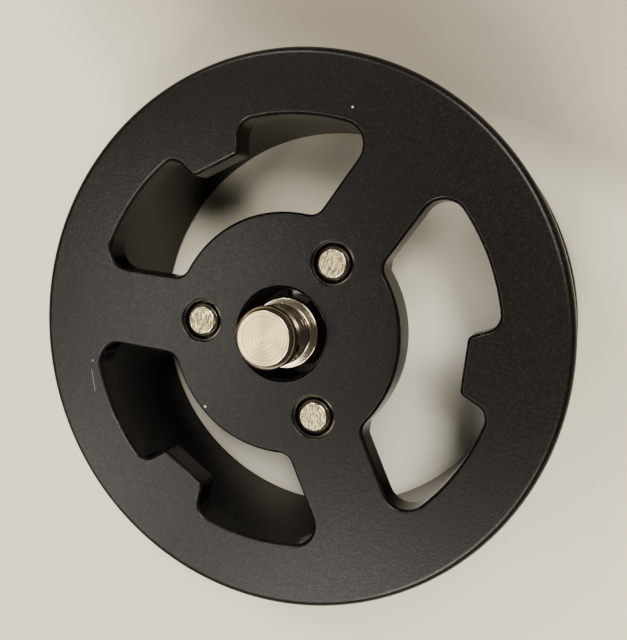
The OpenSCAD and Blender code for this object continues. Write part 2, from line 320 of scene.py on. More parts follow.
def blasted_black():
    """Black anodising over bead-blasted aluminium: fine grain with painted glints, slight patchiness, a few
    dust specks.
    """
    n = Nodes("blasted_black")
    grains = n.add("ShaderNodeTexVoronoi", Vector=n.position(), Scale=4200.0)
    grain = n.ramp(grains.outputs["Color"], 0.25, 0.75)
    patches = n.noise(45, 3.0)
    tone = n.mix(n.ramp(patches, 0.3, 0.7), (0.0024, 0.0019, 0.0015), (0.0034, 0.0028, 0.0023))
    # Bright grains in the colour: the blasted grain, with its sparkles painted in as painted highlights
    tone = n.mix(n.ramp(grain, 0.60, 1.0), tone, (0.0095, 0.0080, 0.0066))
    specks = n.add("ShaderNodeTexVoronoi", Vector=n.position(), Scale=260.0)
    is_speck = n.math("LESS_THAN", specks.outputs["Distance"], 0.055)
    chosen = n.math("GREATER_THAN", n.noise(131, 0.0), 0.68)
    tone = n.mix(n.math("MULTIPLY", is_speck, chosen), tone, (0.42, 0.40, 0.37))
    tone = n.mix(scratch_mask(n), tone, (0.16, 0.15, 0.135))
    roughness = n.ramp(grain, 0.0, 1.0, 0.330, 0.285)
    normal = n.bump(n.noise(2400, 4.0), 0.40, 0.05 * MM)
    return n.finish(Base_Color=tone, Roughness=roughness, Normal=normal, Specular_IOR_Level=0.21)


def turned_black():
    """Black anodising over a turned wall: smoother, with fine rings round the axis."""
    n = Nodes("turned_black")
    rings = n.noise(1.0, 2.0, n.position((60, 60, 9000)))
    tone = n.mix(n.noise(70, 2.0), (0.0016, 0.0013, 0.0011), (0.0026, 0.0022, 0.0018))
    roughness = n.ramp(rings, 0.3, 0.7, 0.18, 0.28)
    normal = n.bump(rings, 0.25, 0.03 * MM)
    return n.finish(Base_Color=tone, Roughness=roughness, Normal=normal, Specular_IOR_Level=0.12)


def edge_black():
    """Anodised chamfers, cut after blasting, so they are smooth and catch the light."""
    n = Nodes("edge_black")
    # Lighter patches along the chamfers: worn spots, and also painted highlights where the edges catch the
    # light
    wear_and_glints = n.ramp(n.noise(900, 3.0), 0.62, 0.80)
    tone = n.mix(wear_and_glints, (0.0035, 0.0031, 0.0027), (0.040, 0.037, 0.033))
    roughness = n.ramp(n.noise(300, 2.0), 0.3, 0.7, 0.24, 0.34)
    return n.finish(Base_Color=tone, Roughness=roughness, Specular_IOR_Level=0.45)


def radial_tangent(n):
    node = n.add("ShaderNodeTangent")
    node.direction_type = "RADIAL"
    node.axis = "Z"
    return node.outputs[0]


def ring_height(n, spacing):
    """Fine concentric rings round the drum's axis, unevenly deep."""
    radius = n.measure("LENGTH", n.position((1, 1, 0)))
    where = n.add("ShaderNodeCombineXYZ", X=n.math("DIVIDE", radius, spacing))
    return n.noise(1.0, 2.0, where.outputs[0], 0.6)


def faced_steel():
    """The stud's end: faced in the lathe, with rings that turn the light into a fan."""
    n = Nodes("faced_steel")
    rings = ring_height(n, 0.12 * MM)
    tone = n.mix(n.ramp(rings, 0.38, 0.56), (0.26, 0.20, 0.085), (0.88, 0.735, 0.39))
    return n.finish(
        Base_Color=tone,
        Metallic=1.0,
        Roughness=n.ramp(rings, 0.3, 0.7, 0.24, 0.40),
        Anisotropic=0.85,
        Tangent=radial_tangent(n),
        Normal=n.bump(rings, 0.50, 0.03 * MM),
    )


def turned_steel():
    """Bright turned stainless steel with faint rings."""
    n = Nodes("turned_steel")
    rings = n.noise(1.0, 2.0, n.position((90, 90, 8000)))
    tone = n.mix(n.noise(500, 2.0), (0.47, 0.405, 0.285), (0.61, 0.535, 0.395))
    return n.finish(
        Base_Color=tone,
        Metallic=1.0,
        Roughness=n.ramp(rings, 0.3, 0.7, 0.14, 0.26),
        Normal=n.bump(rings, 0.2, 0.02 * MM),
    )


def foot_steel():
    """Turned stainless steel, a little duller than the spindle."""
    n = Nodes("foot_steel")
    rings = ring_height(n, 0.25 * MM)
    tone = n.mix(n.noise(350, 2.0), (0.52, 0.50, 0.46), (0.62, 0.595, 0.55))
    return n.finish(
        Base_Color=tone,
        Metallic=1.0,
        Roughness=n.ramp(rings, 0.3, 0.7, 0.24, 0.38),
        Normal=n.bump(rings, 0.25, 0.03 * MM),
    )


def pin_end_steel():
    """Pin ends: ground across, then scratched in use."""
    n = Nodes("pin_end_steel")
    slant = (0, 0, math.radians(55))
    slanting = n.add("ShaderNodeMapping", Vector=n.position(), Rotation=slant, Scale=(3600, 900, 900))
    scratches = n.noise(1.0, 3.0, slanting.outputs[0], 0.7)
    pits = n.noise(2300, 4.0, None, 0.75)
    marks = n.math("MINIMUM", n.ramp(scratches, 0.44, 0.56), n.ramp(pits, 0.40, 0.52))
    tone = n.mix(marks, (0.16, 0.125, 0.065), (0.86, 0.735, 0.44))
    return n.finish(
        Base_Color=tone,
        Metallic=1.0,
        Roughness=n.ramp(marks, 0.0, 1.0, 0.52, 0.26),
        Normal=n.bump(marks, 0.6, 0.04 * MM),
    )


def ground_steel(name, tone_a, tone_b, low, high):
    """Plain ground or hardened steel for the parts inside."""
    n = Nodes(name)
    grain = n.noise(2600, 3.0)
    tone = n.mix(n.noise(220, 3.0), tone_a, tone_b)
    return n.finish(
        Base_Color=tone,
        Metallic=1.0,
        Roughness=n.ramp(grain, 0.3, 0.7, low, high),
        Normal=n.bump(grain, 0.15, 0.02 * MM),
    )


def moulded_rubber():
    """Black nitrile of the bearings' shields."""
    n = Nodes("moulded_rubber")
    grain = n.noise(3200, 3.0)
    tone = n.mix(grain, (0.0035, 0.0034, 0.0033), (0.0070, 0.0068, 0.0065))
    roughness = n.ramp(grain, 0.3, 0.7, 0.55, 0.75)
    normal = n.bump(grain, 0.3, 0.04 * MM)
    return n.finish(Base_Color=tone, Roughness=roughness, Normal=normal, Specular_IOR_Level=0.2)


def paper():
    """Pale warm paper with a faint tooth: painted shade darkens it at the top, painted light brightens it
    under the lower windows.
    """
    n = Nodes("paper")
    tone = n.mix(n.noise(6, 2.0), (0.725, 0.675, 0.530), (0.755, 0.705, 0.560))
    shade = n.ramp(n.measure("DOT_PRODUCT", n.position(), seen(*SHADE_HEADING, 0)), SHADE_START, SHADE_END)
    tone = n.mix(shade, tone, (0.46, 0.42, 0.325))
    # Painted shadow: the paper darkens round a spot above the drum, a cast shadow painted in
    outside_painted_shadow = n.ramp(n.measure("DISTANCE", n.position(), PAINTED_SHADOW_SPOT), PAINTED_SHADOW_IN_R, PAINTED_SHADOW_OUT_R)
    tone = n.mix(outside_painted_shadow, (0.29, 0.255, 0.19), tone)
    # Painted light: the paper under the lower windows is brightened as if more light fell through them
    within = n.ramp(n.measure("LENGTH", n.position()), PAINTED_LIGHT_OUT_R, PAINTED_LIGHT_IN_R)
    below = n.ramp(n.measure("DOT_PRODUCT", n.position(), seen(0, 1, 0)), PAINTED_LIGHT_TOP, PAINTED_LIGHT_FULL)
    tone = n.mix(n.math("MULTIPLY", within, below), tone, (0.98, 0.93, 0.80))
    normal = n.bump(n.noise(900, 4.0), 0.12, 0.08 * MM)
    return n.finish(Base_Color=tone, Roughness=0.92, Normal=normal, Specular_IOR_Level=0.25)


# ---------------------------------------------------------------- mesh helpers


def polar(radius, angle):
    return Vector((radius * math.cos(angle), radius * math.sin(angle)))


def heading(v):
    return math.atan2(v.y, v.x)


def arc(centre, radius, start, end, into=1, step=FILLET_STEP):
    """Points of an arc, each with the direction that leads into the metal."""
    count = max(2, math.ceil(abs(end - start) / step))
    points = []
    for i in range(count + 1):
        angle = start + (end - start) * i / count
        points.append((Vector(centre) + polar(radius, angle), polar(into, angle)))
    return points


def reach(start, way, radius):
    """Point on a ray at which the distance to the axis is radius."""
    b = start.dot(way)
    return start + way * (math.sqrt(b * b - start.length_squared + radius * radius) - b)


def window_half():
    """Upper half of the window centred on +X: the arc on the hub, and the rest from there to the tooth."""
    spoke = math.pi / WINDOWS
    along = polar(1, spoke)
    aside = polar(1, spoke - math.pi / 2)
    hub_corner = reach(aside * (SPOKE_HALF + IN_CORNER_R), along, WINDOW_IN_R + IN_CORNER_R)
    rim_corner = reach(aside * (SPOKE_HALF + OUT_CORNER_R), along, WINDOW_OUT_R - OUT_CORNER_R)
    side = polar(1, TOOTH_FLARE)
    side_out = polar(1, TOOTH_FLARE + math.pi / 2)
    tip = Vector((TOOTH_TIP_R, TOOTH_HALF))
    root = reach(tip + side_out * TOOTH_ROOT_ROUND, side, WINDOW_OUT_R - TOOTH_ROOT_ROUND)
    drop = TOOTH_TIP_ROUND * (1 - math.sin(TOOTH_FLARE)) / math.cos(TOOTH_FLARE)
    tip_corner = tip + Vector((TOOTH_TIP_ROUND, -drop))
    quarter = math.pi / 2
    hub_arc = arc((0, 0), WINDOW_IN_R, 0, heading(hub_corner), -1, ARC_STEP)
    rest = arc(hub_corner, IN_CORNER_R, heading(hub_corner) + math.pi, spoke + quarter)
    rest += arc(rim_corner, OUT_CORNER_R, spoke + quarter, heading(rim_corner))
    rest += arc((0, 0), WINDOW_OUT_R, heading(rim_corner), heading(root), 1, ARC_STEP)[1:]
    rest += arc(root, TOOTH_ROOT_ROUND, heading(root), TOOTH_FLARE - quarter)[1:]
    rest += arc(tip_corner, TOOTH_TIP_ROUND, TOOTH_FLARE + quarter, math.pi, -1)
    return hub_arc, rest


def mirrored(points):
    return [(Vector((p.x, -p.y)), Vector((d.x, -d.y))) for p, d in reversed(points)]


def turned(points, angle):
    turn = Matrix.Rotation(angle, 2)
    return [(turn @ p, turn @ d) for p, d in points]


def circle(radius, into=1, count=LATHE_STEPS, centre=(0, 0)):
    """Points of a circle, each with its direction outwards, or inwards where into is -1."""
    return arc(centre, radius, 0, TURN, into, TURN / count)[:-1]


def rounded_chamfer(size, softening=EDGE_SOFTENING):
    """(inwards offset, depth) pairs across a 45 degree chamfer with softened corners."""
    s = softening
    first_corner = [(size + s, 0), (size + s * 0.3, s * 0.15), (size - s * 0.6, s * 0.75)]
    return first_corner + [(depth, offset) for offset, depth in reversed(first_corner)]


def regular_hexagon(flats_r):
    return [polar(flats_r / math.cos(math.pi / 6), TURN * i / 6) for i in range(6)]


def pin_centres():
    return [polar(PIN_CIRCLE_R, math.pi / WINDOWS + TURN * i / WINDOWS) for i in range(WINDOWS)]


class Sheet:
    """Collects strips and flat regions in one mesh, welded at the end."""

    def __init__(self):
        self.bm = bmesh.new()

    def loop(self, points, offset, z):
        return [self.bm.verts.new((*(p + d * offset), z)) for p, d in points]

    def strip(self, a, b, material):
        """Faces between two loops with as many corners each."""
        for i in range(len(a)):
            j = (i + 1) % len(a)
            face = self.bm.faces.new((a[i], a[j], b[j], b[i]))
            face.material_index = material
            face.smooth = True

    def wall(self, points, steps, materials):
        """A wall through loops at (offset, z) steps. materials has one index, or one for each strip."""
        loops = [self.loop(points, offset, z) for offset, z in steps]
        for i, (a, b) in enumerate(zip(loops, loops[1:])):
            self.strip(a, b, materials if isinstance(materials, int) else materials[i])

    def region(self, z, outer, holes, material):
        """A flat region inside one loop and outside others."""
        loops = [[Vector(p).copy() for p in loop] for loop in [outer, *holes]]
        points, edges = [], []
        for loop in loops:
            base = len(points)
            points += loop
            edges += [(base + i, base + (i + 1) % len(loop)) for i in range(len(loop))]
        flat, _, faces, *_ = delaunay_2d_cdt(points, edges, [], 0, CDT_TOLERANCE)
        verts = [self.bm.verts.new((p.x, p.y, z)) for p in flat]
        for corners in faces:
            middle = sum((flat[i] for i in corners), Vector((0, 0))) / len(corners)
            if inside(middle, loops[0]) and not any(inside(middle, hole) for hole in loops[1:]):
                face = self.bm.faces.new([verts[i] for i in corners])
                face.material_index = material
                face.smooth = True

    def finish(self, name, materials, body, slot, *nodes):
        """Makes the piece, which rides on a body and replaces CAD nodes. The slot argument is not used."""
        bmesh.ops.remove_doubles(self.bm, verts=self.bm.verts, dist=WELD_DISTANCE)
        bmesh.ops.recalc_face_normals(self.bm, faces=self.bm.faces)
        loose = [v for v in self.bm.verts if not v.link_faces]
        bmesh.ops.delete(self.bm, geom=loose, context="VERTS")
        mesh = bpy.data.meshes.new(name)
        self.bm.to_mesh(mesh)
        self.bm.free()
        for material in materials:
            mesh.materials.append(material)
        mesh.set_sharp_from_angle(angle=SHARP_ANGLE)
        piece = bpy.data.objects.new(name, mesh)
        bpy.context.scene.collection.objects.link(piece)
        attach(piece, body)
        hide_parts(*nodes)
        return piece


def inside(p, loop):
    """Whether p lies inside a closed loop, by counting crossings."""
    hit = False
    for a, b in zip(loop, loop[1:] + loop[:1]):
        if (a.y > p.y) != (b.y > p.y) and p.x < a.x + (p.y - a.y) / (b.y - a.y) * (b.x - a.x):
            hit = not hit
    return hit


def offset_points(points, offset):
    return [p + d * offset for p, d in points]


def round_loop(radius, count=LATHE_STEPS):
    return offset_points(circle(radius, 1, count), 0)


def profile_arc(r, z, radius, start, end, count=8):
    """(r, z) points of an arc in a turned profile, angles in degrees."""
    angles = [math.radians(start + (end - start) * i / count) for i in range(count + 1)]
    return [(r + radius * math.cos(a), z + radius * math.sin(a)) for a in angles]


# ---------------------------------------------------------------- drum


def drum_side_profile():
    """From the front face's edge round both flanges and the rope groove to the back of the front plate."""
    low = RIM_Z + FLANGE_T
    high = FACE_Z - FLANGE_T
    fillet_r = BARREL_R + GROOVE_FILLET_R
    profile = [(DRUM_R - FLANGE_EDGE_R - SUPPORT, FACE_Z)]
    profile += profile_arc(DRUM_R - FLANGE_EDGE_R, FACE_Z - FLANGE_EDGE_R, FLANGE_EDGE_R, 90, 0, 10)
    profile += profile_arc(DRUM_R - GROOVE_EDGE_R, high + GROOVE_EDGE_R, GROOVE_EDGE_R, 0, -90, 6)
    profile += profile_arc(fillet_r, high - GROOVE_FILLET_R, GROOVE_FILLET_R, 90, 180, 16)
    profile += profile_arc(fillet_r, low + GROOVE_FILLET_R, GROOVE_FILLET_R, 180, 270, 16)
    profile += profile_arc(DRUM_R - GROOVE_EDGE_R, low - GROOVE_EDGE_R, GROOVE_EDGE_R, 90, 0, 6)
    profile += profile_arc(DRUM_R - REAR_EDGE_R, RIM_Z + REAR_EDGE_R, REAR_EDGE_R, 0, -90, 6)
    return profile


def make_drum(face, wall, edge):
    sheet = Sheet()
    hub_arc, rest = window_half()
    rim_circle = circle(0)

    # outside, rear rim, cavity wall
    side = drum_side_profile()
    sheet.wall(rim_circle, side, 0)
    rear_in = CAVITY_R + BACK_CHAMFER
    back = [(rear_in + SUPPORT, RIM_Z), (rear_in, RIM_Z), (CAVITY_R, RIM_Z + BACK_CHAMFER),
            (CAVITY_R, RIM_Z + BACK_CHAMFER + SUPPORT), (CAVITY_R, PLATE_BACK_Z)]
    sheet.wall(rim_circle, [side[-1], back[0]], 1)
    sheet.wall(rim_circle, back, (1, 2, 1, 1))

    # windows through the front plate
    chamfer = rounded_chamfer(WINDOW_CHAMFER)
    steps = [(WINDOW_CHAMFER + EDGE_SOFTENING + SUPPORT, FACE_Z)] + [(o, FACE_Z - d) for o, d in chamfer]
    steps += [(0, FACE_Z - WINDOW_CHAMFER - EDGE_SOFTENING - SUPPORT), (0, PLATE_BACK_Z)]
    materials = [0, 0, 2, 2, 2, 1, 1, 1]
    holes, hub_circle, inner = [], [], []
    lower = mirrored(rest)
    for i in range(WINDOWS):
        angle = TURN * i / WINDOWS
        whole = turned(hub_arc + rest[1:] + lower[:-1] + mirrored(hub_arc)[:-1], angle)
        sheet.wall(whole, steps, materials)
        holes.append(offset_points(whole, steps[0][0]))
        start = heading(turned(hub_arc, angle)[-1][0])
        end = heading(turned(mirrored(hub_arc), angle + TURN / WINDOWS)[0][0])
        spoke_root = arc((0, 0), WINDOW_IN_R, start, start + (end - start) % TURN, -1, ARC_STEP)[1:-1]
        hub_circle += turned(mirrored(hub_arc) + hub_arc[1:], angle) + spoke_root
        inner += [p for p, _ in reversed(turned(rest + lower, angle))]
        inner += [p for p, _ in spoke_root]
    sheet.region(PLATE_BACK_Z, round_loop(CAVITY_R), [inner], 1)

    # hub behind the plate
    hub_steps = [(0, PLATE_BACK_Z), (0, HUB_BACK_Z + BACK_CHAMFER), (BACK_CHAMFER, HUB_BACK_Z),
                 (BACK_CHAMFER + SUPPORT, HUB_BACK_Z)]
    sheet.wall(hub_circle, hub_steps, (1, 2, 1))

    # hole for the spindle
    hole = circle(HUB_HOLE_R, 1, STUD_STEPS)
    hole_steps = [(HUB_HOLE_CHAMFER + EDGE_SOFTENING + SUPPORT, FACE_Z)]
    hole_steps += [(o, FACE_Z - d) for o, d in rounded_chamfer(HUB_HOLE_CHAMFER)]
    hole_steps += [(0, FACE_Z - 2 * HUB_HOLE_CHAMFER), (0, HUB_BACK_Z + BACK_CHAMFER),
                   (BACK_CHAMFER, HUB_BACK_Z), (BACK_CHAMFER + SUPPORT, HUB_BACK_Z)]
    sheet.wall(hole, hole_steps, (0, 0, 1, 1, 1, 1, 1, 1, 2, 1))
    holes.append(offset_points(hole, hole_steps[0][0]))
    back_holes = [offset_points(hole, hole_steps[-1][0])]

    # holes for the pins: a sunk ring, then a press fit
    for centre in pin_centres():
        ring = circle(PIN_SINK_R, 1, PIN_STEPS, centre)
        ring_steps = [(PIN_HOLE_CHAMFER + EDGE_SOFTENING + SUPPORT, FACE_Z)]
        ring_steps += [(o, FACE_Z - d) for o, d in rounded_chamfer(PIN_HOLE_CHAMFER)]
        fit = PIN_R - PIN_SINK_R
        ring_steps += [(0, FACE_Z - PIN_SINK), (fit, FACE_Z - PIN_SINK), (fit, HUB_BACK_Z)]
        sheet.wall(ring, ring_steps, (0, 0, 2, 2, 2, 1, 1, 1, 1))
        holes.append(offset_points(ring, ring_steps[0][0]))
        back_holes.append(offset_points(ring, ring_steps[-1][0]))

    face_edge_r = side[0][0]
    sheet.region(FACE_Z, round_loop(face_edge_r), holes, 0)
    sheet.region(HUB_BACK_Z, offset_points(hub_circle, hub_steps[-1][0]), back_holes, 1)
    return sheet.finish("drum_shell", (face, wall, edge), "drum", "black_anodised", "drum")


# ---------------------------------------------------------------- pins


def make_pin(number, end_steel, side_steel):
    low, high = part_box(f"drive_pin_{number}")
    centre = ((low + high) / 2).to_2d()
    sheet = Sheet()
    chamfer = [(-PIN_CHAMFER - EDGE_SOFTENING - SUPPORT, high.z)]
    chamfer += [(-o, high.z - d) for o, d in rounded_chamfer(PIN_CHAMFER, STEEL_SOFTENING)]
    steps = chamfer + [(0, high.z - 2 * PIN_CHAMFER), (0, low.z + BACK_CHAMFER), (-BACK_CHAMFER, low.z)]
    ring = circle(PIN_R, 1, PIN_STEPS, centre)
    sheet.wall(ring, steps, (0, 0, 1, 1, 1, 1, 1, 1, 1))
    sheet.region(high.z, offset_points(ring, steps[0][0]), [], 0)
    sheet.region(low.z, offset_points(ring, steps[-1][0]), [], 1)
    return sheet.finish(f"pin_{number}", (end_steel, side_steel), "drum", "pin_steel", f"drive_pin_{number}")


# ---------------------------------------------------------------- outlines for the plates


def rounded(points, radius, count=5):
    """A closed anticlockwise outline with its sharp corners rounded."""
    result = []
    for i, corner in enumerate(points):
        back = (points[i - 1] - corner).normalized()
        on = (points[(i + 1) % len(points)] - corner).normalized()
        half = back.angle(on) / 2
        if half > math.radians(80):
            result.append(corner)
            continue
        middle = corner + (back + on).normalized() * radius / math.sin(half)
        start = corner + back * radius / math.tan(half) - middle
        sweep = start.angle_signed(corner + on * radius / math.tan(half) - middle)
        result += [middle + Matrix.Rotation(-sweep * k / count, 2) @ start for k in range(count + 1)]
    return result


def led_inwards(points, side=1):
    """Pairs each point of an anticlockwise outline with its mitred direction; side is -1 for a hole."""
    pairs = []
    for i, p in enumerate(points):
        before = (p - points[i - 1]).normalized()
        after = (points[(i + 1) % len(points)] - p).normalized()
        normals = Vector((-before.y, before.x)) + Vector((-after.y, after.x))
        pairs.append((p, normals * side * 2 / normals.length_squared))
    return pairs


def disc(radius, count=LATHE_STEPS, centre=(0, 0)):
    """A round outline that is led inwards."""
    return circle(radius, -1, count, centre)


def add_plate(sheet, outline, low, high, chamfer):
    """A flat plate between two heights, with every edge chamfered."""
    sheet.wall(outline, [(chamfer, high), (0, high - chamfer), (0, low + chamfer), (chamfer, low)], 0)
    for z in (low, high):
        sheet.region(z, offset_points(outline, chamfer), [], 0)


def c_ring(inner_r, outer_r, towards):
    """Outline of a circlip: a ring with a gap in it, centred on the heading towards."""
    start = towards + CIRCLIP_GAP / 2
    sweep = TURN - CIRCLIP_GAP
    angles = [start + sweep * i / HOLE_STEPS for i in range(HOLE_STEPS + 1)]
    points = [polar(outer_r, a) for a in angles] + [polar(inner_r, a) for a in reversed(angles)]
    return led_inwards(rounded(points, CIRCLIP_CORNER_R))


# ---------------------------------------------------------------- spindle

# (share of the pitch, share of the depth) once along a thread's profile
THREAD_PROFILE = (
    (0, 0), (0.11, 0), (0.17, 0.08), (0.43, 0.92), (0.49, 1), (0.61, 1), (0.67, 0.92), (0.93, 0.08)
)


def add_thread(sheet, radius, depth, pitch, low, high, end_shares, fade, count, material):
    """A right-handed thread; over the fade its depth runs to the share that end_shares gives for each end."""
    rows = (math.ceil((high - low) / pitch) + 2) * len(THREAD_PROFILE)
    columns = []
    for j in range(count):
        column = []
        for k in range(rows):
            turn, step = divmod(k, len(THREAD_PROFILE))
            along, share = THREAD_PROFILE[step]
            z = min(max(low + pitch * (j / count + turn + along - 1), low), high)
            for end, end_share in zip((low, high), end_shares):
                share = end_share + (share - end_share) * min(abs(z - end) / fade, 1)
            column.append(sheet.bm.verts.new((*polar(radius - depth * share, TURN * j / count), z)))
        columns.append(column)
    for j in range(count):
        here, there = columns[j], columns[(j + 1) % count]
        shift = len(THREAD_PROFILE) if j == count - 1 else 0
        for k in range(rows - 1 - shift):
            face = sheet.bm.faces.new((here[k], there[k + shift], there[k + 1 + shift], here[k + 1]))
            face.material_index = material
            face.smooth = True


def add_spindle_middle(sheet, low, high):
    """The journals and the pawls' hub between two heights, cut out of a copy of the CAD mesh."""
    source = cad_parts["spindle"]
    copy = bmesh.new()
    copy.from_mesh(source.data)
    copy.transform(source.matrix_world)
    for z, way in ((low, -1), (high, 1)):
        geom = copy.verts[:] + copy.edges[:] + copy.faces[:]
        bmesh.ops.bisect_plane(copy, geom=geom, plane_co=(0, 0, z), plane_no=(0, 0, way), clear_outer=True)
    near_bore = TAP_R + 0.1 * MM
    bore = [f for f in copy.faces if all(v.co.to_2d().length < near_bore for v in f.verts)]
    bmesh.ops.delete(copy, geom=bore, context="FACES")
    mesh = bpy.data.meshes.new("spindle_middle")
    copy.to_mesh(mesh)
    copy.free()
    sheet.bm.from_mesh(mesh)
    bpy.data.meshes.remove(mesh)
    for face in sheet.bm.faces:
        face.material_index = 1
        face.smooth = True


def add_stud(sheet):
    """From the faced end down: chamfer, plain tip, thread, relief and collar."""
    whole = circle(0, 1, STUD_STEPS)
    end = [(STUD_R - o, STUD_TOP - d) for o, d in rounded_chamfer(STUD_CHAMFER, STEEL_SOFTENING)]
    end = [(end[0][0] - SUPPORT, STUD_TOP)] + end
    high = STUD_TOP - PLAIN_END
    low = COLLAR_Z + RELIEF
    sheet.region(STUD_TOP, round_loop(end[0][0], STUD_STEPS), [], 0)
    sheet.wall(whole, end + [(STUD_R, high)], (0, 0, 1, 1, 1, 1, 1))
    add_thread(sheet, STUD_R, THREAD_DEPTH, THREAD_PITCH, low, high, (1, 0), THREAD_FADE, STUD_STEPS, 1)
    root = STUD_R - THREAD_DEPTH
    edge = [(COLLAR_R - o, COLLAR_Z - d) for o, d in rounded_chamfer(COLLAR_CHAMFER)]
    part_way = 0.08 * MM
    collar = [(root, low), (root, COLLAR_Z + RELIEF_FILLET), (root + part_way, COLLAR_Z + part_way)]
    collar += [(root + RELIEF_FILLET, COLLAR_Z)] + edge
    collar += [(COLLAR_R, COLLAR_Z - 1 * MM), (COLLAR_R, CAD_CUT_HIGH)]
    sheet.wall(whole, collar, 1)


def add_rear_end(sheet):
    """A chamfered hexagon round a tapped hole."""
    outline = led_inwards(rounded(regular_hexagon(HEX_FLATS_R), HEX_CORNER_R))
    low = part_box("spindle")[0].z
    sheet.wall(outline, [(HEX_CHAMFER, low), (0, low + HEX_CHAMFER), (0, CAD_CUT_LOW)], 1)
    mouth_r = TAP_R + TAP_CHAMFER
    sheet.region(low, offset_points(outline, HEX_CHAMFER), [round_loop(mouth_r, HOLE_STEPS)], 1)
    bore = circle(0, 1, HOLE_STEPS)
    tap_low = low + TAP_CHAMFER + 0.1 * MM
    tap_high = low + TAP_DEPTH - TAP_RUN_OUT
    sheet.wall(bore, [(mouth_r, low), (TAP_R, low + TAP_CHAMFER), (TAP_R, tap_low)], 1)
    fade = TAP_THREAD_DEPTH
    add_thread(sheet, TAP_R, -TAP_THREAD_DEPTH, TAP_PITCH, tap_low, tap_high, (0, 0), fade, HOLE_STEPS, 1)
    sheet.wall(bore, [(TAP_R, tap_high), (TAP_R, low + TAP_DEPTH)], 1)
    sheet.region(low + TAP_DEPTH, round_loop(TAP_R, HOLE_STEPS), [], 1)


def make_spindle(end_steel, side_steel):
    sheet = Sheet()
    add_spindle_middle(sheet, CAD_CUT_LOW, CAD_CUT_HIGH)
    add_stud(sheet)
    add_rear_end(sheet)
    return sheet.finish("spindle_turned", (end_steel, side_steel), "base", "turned_stainless", "spindle")


def make_foot(steel):
    sheet = Sheet()
    hole = led_inwards(rounded(regular_hexagon(HEX_FLATS_R), HEX_HOLE_CORNER_R), -1)
    dowels = [circle(DOWEL_R, 1, 48, (side * DOWEL_X, 0)) for side in (-1, 1)]
    boss = circle(BOSS_R, 1, STUD_STEPS)
    foot = disc(FOOT_HIGH.x)
    soft = FOOT_SOFT
    outer = [(soft, FOOT_T), (0, FOOT_T - soft), (0, soft), (soft, 0)]
    for loop in (foot, *dowels):
        sheet.wall(loop, outer, 0)
    sheet.wall(hole, [(soft, BOSS_TOP), (0, BOSS_TOP - soft), (0, soft), (soft, 0)], 0)
    boss_steps = [(BOSS_FILLET, FOOT_T), (0, FOOT_T + BOSS_FILLET), (0, BOSS_TOP - soft), (-soft, BOSS_TOP)]
    sheet.wall(boss, boss_steps, 0)
    narrow = [offset_points(loop, soft) for loop in dowels]
    sheet.region(0, offset_points(foot, soft), [offset_points(hole, soft), *narrow], 0)
    sheet.region(FOOT_T, offset_points(foot, soft), [offset_points(boss, BOSS_FILLET), *narrow], 0)
    sheet.region(BOSS_TOP, offset_points(boss, -soft), [offset_points(hole, soft)], 0)
    return sheet.finish("foot_turned", (steel,), "base", "foot_stainless", "mounting_foot")


# ---------------------------------------------------------------- carrier, circlips, bearings


def flange_outline():
    """Three flats whose corners are turned off by one circle."""
    corner = math.acos(CARRIER_FLAT_R / CARRIER_R)
    points = []
    for i in range(WINDOWS):
        start, end = TURN * i / WINDOWS + corner, TURN * (i + 1) / WINDOWS - corner
        points += [polar(CARRIER_R, start + (end - start) * k / 4) for k in range(5)]
    return led_inwards(rounded(points, CARRIER_CORNER_R))


def make_carrier(black, edge):
    """The three-cornered flange with the pins' sockets, and the housing bored for both bearings."""
    sheet = Sheet()
    soft = CARRIER_SOFT
    outline = flange_outline()
    housing = circle(HOUSING_R, 1)
    low, high = CARRIER_LOW.z, CARRIER_HIGH.z
    pins = [circle(PIN_R, 1, PIN_STEPS, centre) for centre in pin_centres()]
    sheet.wall(outline, [(soft, high), (0, high - soft), (0, FLANGE_Z + soft), (soft, FLANGE_Z)], (1, 0, 1))
    front_holes = [round_loop(LIP_R), *(offset_points(loop, 0) for loop in pins)]
    sheet.region(high, offset_points(outline, soft), front_holes, 0)
    sheet.region(FLANGE_Z, offset_points(outline, soft), [offset_points(housing, HOUSING_ROOT)], 0)
    bottom = FLANGE_Z + PIN_SOCKET_FLOOR
    for loop in pins:
        sheet.wall(loop, [(0, high), (0, bottom)], 0)
        sheet.region(bottom, offset_points(loop, 0), [], 0)
    root = [(HOUSING_ROOT, FLANGE_Z), (0, FLANGE_Z - HOUSING_ROOT)]
    sheet.wall(housing, [*root, (0, low + soft), (-soft, low)], (0, 0, 1))
    groove_low, groove_high = RACE_Z[0] - CIRCLIP_GROOVE_T, RACE_Z[0]
    profile = [(HOUSING_R - soft, low), (RACE_R + RACE_SOFT, low), (RACE_R, low + RACE_SOFT)]
    profile += [(RACE_R, groove_low), (CIRCLIP_GROOVE_R, groove_low)]
    profile += [(CIRCLIP_GROOVE_R, groove_high), (RACE_R, groove_high)]
    profile += [(RACE_R, RACE_Z[1] + RACE_T), (LIP_R, RACE_Z[1] + RACE_T), (LIP_R, high)]
    sheet.wall(circle(0), profile, 0)
    return sheet.finish("carrier_turned", (black, edge), "drum", "carrier_anodised", "bearing_carrier")


def make_circlip(name, body, outline, steel):
    low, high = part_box(name)
    sheet = Sheet()
    add_plate(sheet, outline, low.z, high.z, CIRCLIP_SOFT)
    return sheet.finish(f"{name}_stamped", (steel,), body, "spring_steel", name)


def groove_arc(z, start, end):
    return profile_arc(BALL_CIRCLE_R, z, BALL_GROOVE_R, start, end, 16)


